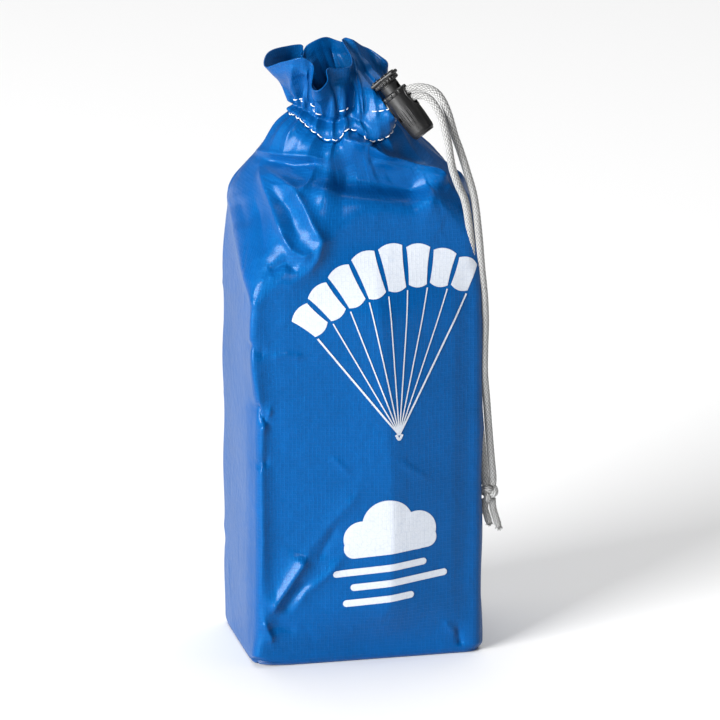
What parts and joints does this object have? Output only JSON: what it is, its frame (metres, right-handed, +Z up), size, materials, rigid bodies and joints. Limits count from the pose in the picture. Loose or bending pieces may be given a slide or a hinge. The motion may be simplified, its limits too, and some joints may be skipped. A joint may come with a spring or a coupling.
{
  "type": "packed parafoil kite",
  "caption": "Soft parafoil kite rolled up in its upright drawstring bag, with a cord lock on the gathered mouth and a knotted drawcord.",
  "frame": {"origin": "middle of the flat base panel's underside, on the surface that the bag stands on", "axes": "+Z up along the bag, +X to the right of the printed front, -Y out of the printed front"},
  "size_m": [0.0875, 0.057, 0.209],
  "materials": {
    "bag_cloth": "glossy coated ripstop",
    "thread": "spun white thread",
    "cord": "white round braid",
    "lock_plastic": "satin moulded",
    "spring_steel": "drawn wire",
    "canopy_red": "ripstop",
    "canopy_yellow": "ripstop",
    "canopy_blue": "ripstop",
    "line": "twisted line",
    "winder_plastic": "moulded"
  },
  "bodies": {
    "bag": {"bag_body": "bag_cloth", "base_panel": "bag_cloth", "mouth_casing": "bag_cloth", "casing_stitching": "thread", "drawcord_loop": "cord", "drawcord_strand_outer": "cord", "drawcord_strand_inner": "cord", "drawcord_knot": "cord", "drawcord_tails": "cord", "canopy_top_skin": "canopy_red", "canopy_bottom_skin": "canopy_yellow", "cell_ribs": "canopy_blue", "bridle_keels": "canopy_blue", "bridle_hank": "line", "tail_left": "canopy_yellow", "tail_right": "canopy_red", "line_winder": "winder_plastic", "flying_line": "line"},
    "lock": {"lock_barrel": "lock_plastic", "lock_spring": "spring_steel"},
    "plunger": {"lock_plunger": "lock_plastic"}
  },
  "joints": [
    {"name": "lock_slide", "type": "slide", "parent": "bag", "child": "lock", "axis": [0.6825, -0.3528, 0.6401], "range_m": [0, 0.002]},
    {"name": "plunger_press", "type": "slide", "parent": "lock", "child": "plunger", "axis": [0.5353, -0.3552, -0.7664], "range_m": [0, 0.003], "stiffness_N_per_m": 600, "springref_m": -0.002, "deforming": ["lock_spring"]}
  ]
}
